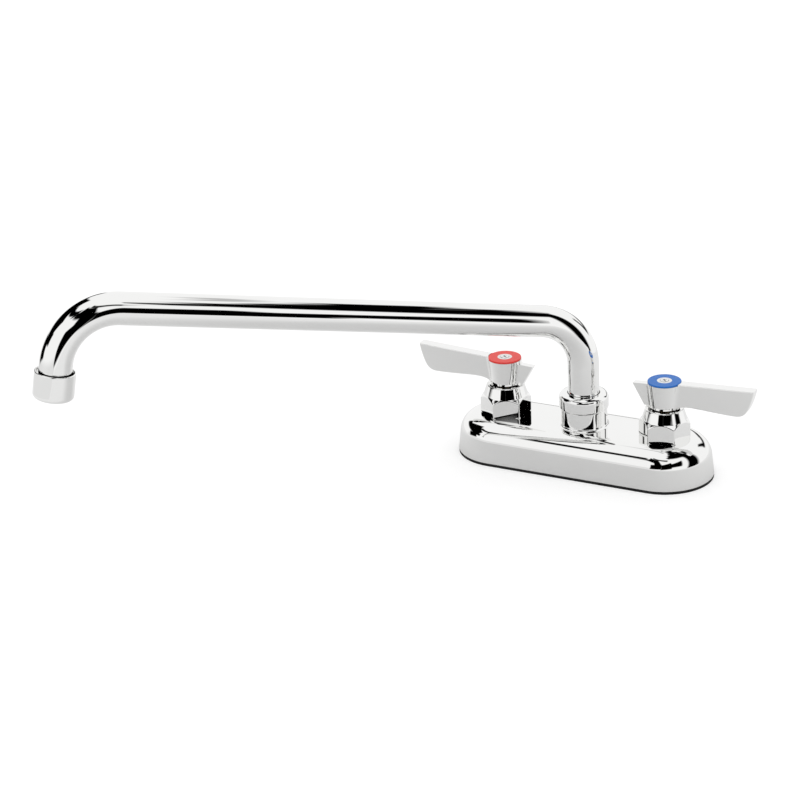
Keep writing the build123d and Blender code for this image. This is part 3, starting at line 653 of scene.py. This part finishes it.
# %% A material from its colours and amounts
def finish(name, colour, other, *, metallic, rough, haze, haze_size, grain, depth, **extra):
    """A Principled material: colour drifts to another in patches, roughness and normal uneven.

    Returns the material and the node that mixes its two colours."""
    material = new_material(name)
    nodes, links = material.node_tree.nodes, material.node_tree.links
    shader = nodes["Principled BSDF"]
    shader.inputs["Metallic"].default_value = metallic
    for socket, value in extra.items():
        shader.inputs[socket.replace("_", " ")].default_value = value
    uneven = nodes.new("ShaderNodeGroup")
    uneven.node_tree = uneven_surface
    for socket, value in zip(uneven.inputs, (rough, haze, haze_size, grain, depth)):
        socket.default_value = value
    drift = nodes.new("ShaderNodeMix")
    drift.data_type = "RGBA"
    drift.inputs["A"].default_value = (*colour, 1)
    drift.inputs["B"].default_value = (*other, 1)
    links.new(uneven.outputs["Patches"], drift.inputs["Factor"])
    links.new(drift.outputs["Result"], shader.inputs["Base Color"])
    links.new(uneven.outputs["Roughness"], shader.inputs["Roughness"])
    links.new(uneven.outputs["Normal"], shader.inputs["Normal"])
    print("finish:", name)
    return material, drift


# %% [markdown]
# ## Six plain finishes
# The sizes of haze and grain are counts per metre, so that rubber has a grain of 0.4 mm and
# chrome only a slow ripple. Metals carry their colour in their reflection, and the others in
# their body under a clear gloss.

# %% Chrome, brass, rubber, ceramic, nylon and steel
chrome, _ = finish(
    "bright_chrome", (0.91, 0.91, 0.905), (0.88, 0.88, 0.87),
    metallic=1.0, rough=0.015, haze=0.03, haze_size=30.0, grain=500.0, depth=0.004,
)
brass, _ = finish(
    "turned_brass", (0.80, 0.62, 0.33), (0.70, 0.52, 0.27),
    metallic=1.0, rough=0.22, haze=0.15, haze_size=60.0, grain=1500.0, depth=0.10,
)
rubber, _ = finish(
    "black_rubber", (0.008, 0.008, 0.009), (0.018, 0.018, 0.017),
    metallic=0.0, rough=0.6, haze=0.25, haze_size=80.0, grain=2500.0, depth=0.30, Specular_IOR_Level=0.2,
)
ceramic, _ = finish(
    "white_ceramic", (0.90, 0.89, 0.85), (0.86, 0.85, 0.80),
    metallic=0.0, rough=0.12, haze=0.10, haze_size=50.0, grain=1200.0, depth=0.03,
)
nylon, _ = finish(
    "white_nylon", (0.86, 0.86, 0.83), (0.80, 0.80, 0.76),
    metallic=0.0, rough=0.35, haze=0.15, haze_size=60.0, grain=1800.0, depth=0.10,
)
# Steel's first colour, near black, is painted shade for the screw's cross; the second is the steel's own.
steel, steel_shade_mix = finish(
    "stainless_steel", (0.03, 0.03, 0.03), (0.84, 0.84, 0.84),
    metallic=1.0, rough=0.16, haze=0.15, haze_size=90.0, grain=2500.0, depth=0.12,
)

# %% [markdown]
# ## The screw's cross in painted shade
# A slot this small holds no light. Steel that darkens with depth, by the height of the point in
# the piece's own coordinates, is painted shade that makes the cross read as a hole.

# %% Painted shade in the screw's recess
FULL_SHADE_DEPTH, SHADE_EDGE_DEPTH = 1.0, 0.2


def paint_recess_shade(material, drift, floor_z, rim_z):
    """Painted shade: colour goes from the drift's first, at the height of the recess's floor, to its second.
    """
    tree = material.node_tree
    place, parts = tree.nodes.new("ShaderNodeTexCoord"), tree.nodes.new("ShaderNodeSeparateXYZ")
    tree.links.new(place.outputs["Object"], parts.inputs["Vector"])
    depth = ramp_between(tree, parts.outputs["Z"], floor_z, rim_z)
    tree.links.new(depth.outputs["Result"], drift.inputs["Factor"])


# Painted shade: the screw's cross darkens with depth, in place of the steel's patches.
paint_recess_shade(steel, steel_shade_mix, HEAD_TOP - FULL_SHADE_DEPTH, HEAD_TOP - SHADE_EDGE_DEPTH)
print("steel darkens from", SHADE_EDGE_DEPTH, "to", FULL_SHADE_DEPTH, "mm below the screw's top")

# %% [markdown]
# ## The index colour
# The disc's print is a ring of colour round a white middle. The material measures how far a
# point is from the valve's axis, in the piece's own coordinates, and a short ramp turns that
# distance into white inside and colour outside.

# %% Index disc material
PRINT_INNER_R, PRINT_EDGE = 4.25, 0.2
PRINT_WHITE = (0.82, 0.82, 0.81)


def index_finish(name, colour, x):
    """Base colour from the distance to the axis at x: white to the print's inner radius, then colour."""
    material, drift = finish(
        name, PRINT_WHITE, colour,
        metallic=0.0, rough=0.3, haze=0.1, haze_size=90.0, grain=1500.0, depth=0.02, Specular_IOR_Level=0.25,
    )
    tree = material.node_tree
    place, centre, distance = [
        tree.nodes.new(f"ShaderNode{kind}") for kind in ("TexCoord", "Mapping", "VectorMath")
    ]
    centre.inputs["Location"].default_value = (-x * MM, 0, 0)
    centre.inputs["Scale"].default_value = (1, 1, 0)
    distance.operation = "LENGTH"
    tree.links.new(place.outputs["Object"], centre.inputs["Vector"])
    tree.links.new(centre.outputs["Vector"], distance.inputs[0])
    outside = ramp_between(tree, distance.outputs["Value"], PRINT_INNER_R, PRINT_INNER_R + PRINT_EDGE)
    tree.links.new(outside.outputs["Result"], drift.inputs["Factor"])
    return material


red_print = index_finish("red_print", (0.82, 0.058, 0.048), HOT_X)
blue_print = index_finish("blue_print", (0.022, 0.16, 0.55), COLD_X)

# %% [markdown]
# ## One finish for each slot
# The record names a material slot for every piece. A table from slot to finish dresses them all,
# the new pieces and the CAD nodes that are carried over as they are.

# %% Give every piece its finish
SLOT_FINISH = {
    "chrome_plate": chrome,
    "brass": brass,
    "black_rubber": rubber,
    "ceramic": ceramic,
    "white_plastic": nylon,
    "steel": steel,
    "red_index": red_print,
    "blue_index": blue_print,
}
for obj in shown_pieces():
    obj.data.materials.clear()
    obj.data.materials.append(SLOT_FINISH[slot_of_node.get(obj.name) or obj["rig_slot"]])

# %% [markdown]
# ## Floor and background
# The photograph has a white sheet under and behind the faucet. The floor catches a plain soft
# shadow like any white sheet. To the camera it also glows a little, so that it comes out white.
# What the chrome sees of it glows more away from the faucet: painted shade of the faucet near it,
# and painted light on the sheet farther off.

# %% Glow of the white sheet, with painted shade near the faucet
PAINTED_SHADE_MIDDLE = np.array([-50.0, -120.0, 0.0])
PAINTED_SHADE_TURN, PAINTED_SHADE_STRETCH = 22.0, 2.2
GLOW_STARTS, GLOW_FULL = 30.0, 190.0


def glow_with_painted_shade(tree, to_camera, near, far):
    """Extra white for camera rays; for mirror and glass rays a painted glow that grows away from the faucet.

    Mirror glow = near + (far - near) * smooth step of the distance from the faucet's middle,
    where lengths along the spout's line count less than half: painted shade near the faucet, painted
    light farther off."""
    math = MathChain(tree)
    path, place, shift, away = [
        tree.nodes.new(f"ShaderNode{kind}") for kind in ("LightPath", "TexCoord", "Mapping", "VectorMath")
    ]
    shift.vector_type = "TEXTURE"
    shift.inputs["Location"].default_value = (PAINTED_SHADE_MIDDLE * MM).tolist()
    shift.inputs["Rotation"].default_value = (0, 0, radians(PAINTED_SHADE_TURN))
    shift.inputs["Scale"].default_value = (PAINTED_SHADE_STRETCH, 1, 1)
    away.operation = "LENGTH"
    tree.links.new(place.outputs["Object"], shift.inputs["Vector"])
    tree.links.new(shift.outputs["Vector"], away.inputs[0])
    # Painted shade near the faucet, rising to painted light away from it, for mirror rays only.
    painted_shade_ramp = ramp_between(tree, away.outputs["Value"], GLOW_STARTS, GLOW_FULL)
    painted_shade_ramp.interpolation_type = "SMOOTHSTEP"
    painted_shade_ramp.inputs["To Min"].default_value = near
    painted_shade_ramp.inputs["To Max"].default_value = far
    mirrors = math("MAXIMUM", path.outputs["Is Glossy Ray"], path.outputs["Is Transmission Ray"])
    in_mirrors = math("MULTIPLY", mirrors, painted_shade_ramp.outputs["Result"])
    in_camera = math("MULTIPLY", path.outputs["Is Camera Ray"], to_camera)
    return math("MAXIMUM", in_mirrors, in_camera)


# %% [markdown]
# ## The floor
# One flat square, far larger than the view, is enough for a sheet that has no edge in sight. Its
# own colour is a light grey, so that the glow and the light on it add up to white and the shadow
# under the faucet still shows.

# %% White floor that keeps the shadow
FLOOR_HALF_SIDE = 6000.0
FLOOR_GREY, FLOOR_ROUGHNESS = 0.62, 0.9
floor_material = new_material("white_floor")
floor_tree = floor_material.node_tree
floor_sockets = floor_tree.nodes["Principled BSDF"].inputs
floor_sockets["Base Color"].default_value = (FLOOR_GREY, FLOOR_GREY, FLOOR_GREY, 1)
floor_sockets["Roughness"].default_value = FLOOR_ROUGHNESS
floor_sockets["Specular IOR Level"].default_value = 0.0
floor_sockets["Emission Color"].default_value = (1, 1, 1, 1)
# near: painted shade beside the faucet; far: painted light away from it, both as the chrome sees them.
glow_strength = glow_with_painted_shade(floor_tree, to_camera=0.46, near=0.06, far=0.25)
floor_tree.links.new(glow_strength, floor_sockets["Emission Strength"])

floor_mesh = bpy.data.meshes.new("studio_floor")
edge = FLOOR_HALF_SIDE * MM
floor_corners = [(-edge, -edge, 0), (edge, -edge, 0), (edge, edge, 0), (-edge, edge, 0)]
floor_mesh.from_pydata(floor_corners, [], [(0, 1, 2, 3)])
floor_mesh.materials.append(floor_material)
studio_floor = new_object("studio_floor", floor_mesh)
print("floor:", 2 * edge, "m square")

# %% [markdown]
# ## The light tent
# Chrome shows whatever stands round it, so the tent matters as much as the metal: white cloth all
# round, and between the cloths the dark gaps of the room. The cloth is a sphere of about half a
# metre's radius, and each gap is a turned rectangle with soft edges on it. Only mirrors see them.
# The sphere stands close behind the faucet, so a second one round the spout's whole swing bulges
# out of it there, and carries the same picture as seen from beside the boss.

# %% Where the tent and its gaps are
TENT_CENTRE, TENT_RADIUS = np.array([-176.0, -220.0, 255.0]), 488.0
SWING_CENTRE, SWING_RADIUS = np.array([0.0, 0.0, 105.0]), 345.0
BESIDE_BOSS = np.array([20.0, -15.0, 35.0])
# Each gap: bearing and height of its middle, half width, half height, turn and softness in
# degrees, then how dark it is (1 is black). Bearing 0 is towards the user, 90 to the right
# and 180 behind, as seen from the tent's centre.
GAPS = [
    (-100, 1, 43, 8, 4, 3, 1),
    (-96, 18, 32, 23, -17, 3, 1),
    (-86, -14, 17, 10, 18, 3, 1),
    (-53, 48, 43, 6, 9, 3, 1),
    (-12, 46, 17, 4, 8, 3, 1),
    (17, 41, 24, 15, -28, 5, 1),
    (48, 43, 33, 5, -37, 5, 1),
    (34, 12, 12, 29, 7, 3, 1),
    (30, -10, 20, 18, 4, 3, 1),
    (65, -11.5, 16, 16.5, 8, 3, 1),
    (89, -11.5, 15, 9.5, -4, 3, 1),
    (119, 34, 35, 7, -3, 5, 1),
    (113, 25, 20, 14, -42, 5, 1),
    (121, 5, 6.5, 40, -3, 3, 1),
    (136, 31, 12, 5, -80, 5, 1),
    (143.7, -17.5, 2.2, 5, 0, 2, 1),
    (149, -21.6, 8, 1.5, 0, 2, 1),
    (164, -24, 12, 1.5, -15, 2, 1),
    (160, 44, 20, 3, -18, 4, 0.45),
    (-48, -31, 63, 9, 0, 8, 0.19),
]


# %% [markdown]
# ## One gap
# A picture of a room wrapped round the tent would do, but soft rectangles say in plain numbers
# where each dark place is. One node group draws a rectangle, and the cloth holds one copy of the
# group for each row of the list.

# %% One gap as a node group
def gap_group():
    """How dark a gap makes a spot on the tent: a turned rectangle with soft edges.

    The offset from the gap's middle is turned into the gap's own width and height, and each
    gives a ramp, (half size - distance) / softness + 1/2, cut to 0...1. The two are multiplied
    with each other and with the gap's darkness."""
    spot = ("Bearing", "Height")
    shape = ("Middle Bearing", "Middle Height", "Half Width", "Half Height", "Turn", "Softness", "Darkness")
    tree, get, put = node_group("tent_gap", spot + shape, [("Gap", "Float")])
    math = MathChain(tree)
    aside = math("WRAP", math("SUBTRACT", get["Bearing"], get["Middle Bearing"]), 180.0, -180.0)
    above = math("SUBTRACT", get["Height"], get["Middle Height"])
    turn = math("RADIANS", get["Turn"])
    cosine, sine = math("COSINE", turn), math("SINE", turn)
    wide = math("ADD", math("MULTIPLY", aside, cosine), math("MULTIPLY", above, sine))
    high = math("SUBTRACT", math("MULTIPLY", above, cosine), math("MULTIPLY", aside, sine))
    ramps = []
    for offset, half in ((wide, "Half Width"), (high, "Half Height")):
        left = math("DIVIDE", math("SUBTRACT", get[half], math("ABSOLUTE", offset)), get["Softness"])
        ramps.append(math("MINIMUM", math("MAXIMUM", math("ADD", left, 0.5), 0.0), 1.0))
    tree.links.new(math("MULTIPLY", math("MULTIPLY", *ramps), get["Darkness"]), put["Gap"])
    return tree


# %% [markdown]
# ## One picture on two spheres
# The gaps are laid out on the tent's own sphere. A point of the cloth on the other sphere first
# looks up its place there, on the line that runs to it from beside the boss.

# %% A point's place on the tent's own sphere
def spot_on_tent(tree):
    """A point of the cloth, carried back to the tent's own sphere on the line from beside the boss.

    spot = off + unit * (root((unit . off)^2 + radius^2 - off^2) - unit . off), where off goes from
    the sphere's centre to the viewpoint and unit from there to the point."""
    math = MathChain(tree)
    off = (BESIDE_BOSS - TENT_CENTRE) * MM
    place, shift = tree.nodes.new("ShaderNodeTexCoord"), tree.nodes.new("ShaderNodeMapping")
    shift.inputs["Location"].default_value = (-BESIDE_BOSS * MM).tolist()
    unit, along, ray, spot = [tree.nodes.new("ShaderNodeVectorMath") for _ in range(4)]
    unit.operation, along.operation = "NORMALIZE", "DOT_PRODUCT"
    ray.operation, spot.operation = "SCALE", "ADD"
    along.inputs[1].default_value = spot.inputs[1].default_value = off.tolist()
    tree.links.new(place.outputs["Object"], shift.inputs["Vector"])
    tree.links.new(shift.outputs["Vector"], unit.inputs[0])
    tree.links.new(unit.outputs["Vector"], along.inputs[0])
    tree.links.new(unit.outputs["Vector"], ray.inputs[0])
    behind = along.outputs["Value"]
    past_off = float((TENT_RADIUS * MM) ** 2 - off @ off)
    root = math("SQRT", math("ADD", math("MULTIPLY", behind, behind), past_off))
    tree.links.new(math("SUBTRACT", root, behind), ray.inputs["Scale"])
    tree.links.new(ray.outputs["Vector"], spot.inputs[0])
    return spot.outputs["Vector"]


# %% [markdown]
# ## The cloth
# The cloth glows by itself, at the strength at which white renders white. The gaps are taken out
# of that glow for mirror rays only, so that matt surfaces are lit as if the cloth were whole.

# %% The cloth's glow, less every gap
def tent_material():
    """Glow of 1, times one minus each gap, for mirror rays; plain 1 for the light on the object."""
    material = new_material("tent_cloth")
    tree = material.node_tree
    nodes, links = tree.nodes, tree.links
    math = MathChain(tree)
    parts = nodes.new("ShaderNodeSeparateXYZ")
    links.new(spot_on_tent(tree), parts.inputs["Vector"])
    to_user = math("MULTIPLY", parts.outputs["Y"], -1.0)
    bearing = math("DEGREES", math("ARCTAN2", parts.outputs["X"], to_user))
    height = math("DEGREES", math("ARCSINE", math("DIVIDE", parts.outputs["Z"], TENT_RADIUS * MM)))
    light = None
    gap_tree = gap_group()
    for gap_sizes in GAPS:
        gap = nodes.new("ShaderNodeGroup")
        gap.node_tree = gap_tree
        links.new(bearing, gap.inputs["Bearing"])
        links.new(height, gap.inputs["Height"])
        for socket, value in zip(list(gap.inputs)[2:], gap_sizes):
            socket.default_value = value
        open_part = math("SUBTRACT", 1.0, gap.outputs["Gap"])
        light = open_part if light is None else math("MULTIPLY", light, open_part)
    path = nodes.new("ShaderNodeLightPath")
    soft_light = math("SUBTRACT", 1.0, path.outputs["Is Glossy Ray"])
    glow = nodes.new("ShaderNodeEmission")
    links.new(math("MAXIMUM", light, soft_light), glow.inputs["Strength"])
    links.new(glow.outputs["Emission"], nodes["Material Output"].inputs["Surface"])
    nodes.remove(nodes["Principled BSDF"])
    material.cycles.emission_sampling = "NONE"
    return material


# %% [markdown]
# ## The tent's skin
# Joining two spheres with a boolean leaves a ragged edge. Here one grid of directions is enough:
# in each direction the skin lies at whichever wall is farther away.

# %% Skin of the tent
def tent_sheet(columns=180, rows=90):
    """Two spheres in one skin: from beside the boss, as far as the farther sphere's wall.

    The wall of a sphere lies root((unit . off)^2 + radius^2 - off^2) - unit . off away, where off
    goes from its centre to the viewpoint."""
    h = np.linspace(-np.pi / 2, np.pi / 2, rows)[:, None]
    b = np.linspace(-np.pi, np.pi, columns, endpoint=False)[None]
    unit = np.stack([np.cos(h) * np.sin(b), -np.cos(h) * np.cos(b), np.sin(h) + 0 * b], axis=-1)
    walls = []
    for centre, radius in ((TENT_CENTRE, TENT_RADIUS), (SWING_CENTRE, SWING_RADIUS)):
        off = BESIDE_BOSS - centre
        walls.append(np.sqrt((unit @ off) ** 2 + radius**2 - off @ off) - unit @ off)
    return BESIDE_BOSS + unit * np.maximum(*walls)[..., None]


tent_points = tent_sheet()
tent_mesh = bpy.data.meshes.new("light_tent")
tent_faces = quads(*tent_points.shape[:2]).tolist()
tent_mesh.from_pydata((tent_points.reshape(-1, 3) * MM).tolist(), [], tent_faces)
tent_mesh.materials.append(tent_material())
light_tent = new_object("light_tent", tent_mesh)
light_tent.visible_camera = False
light_tent.visible_shadow = False
print("light tent:", len(tent_faces), "faces,", len(GAPS), "dark gaps")

# %% [markdown]
# ## The room and the view
# An even white world lights everything from all sides, and the tent casts no shadow in it. The
# plain Standard view shows colours as they are written.

world = bpy.data.worlds.new("white_room")
bpy.context.scene.world = world
world.use_nodes = True
world.node_tree.nodes["Background"].inputs["Color"].default_value = (1, 1, 1, 1)
world.node_tree.nodes["Background"].inputs["Strength"].default_value = 1.0
bpy.context.scene.view_settings.view_transform = "Standard"
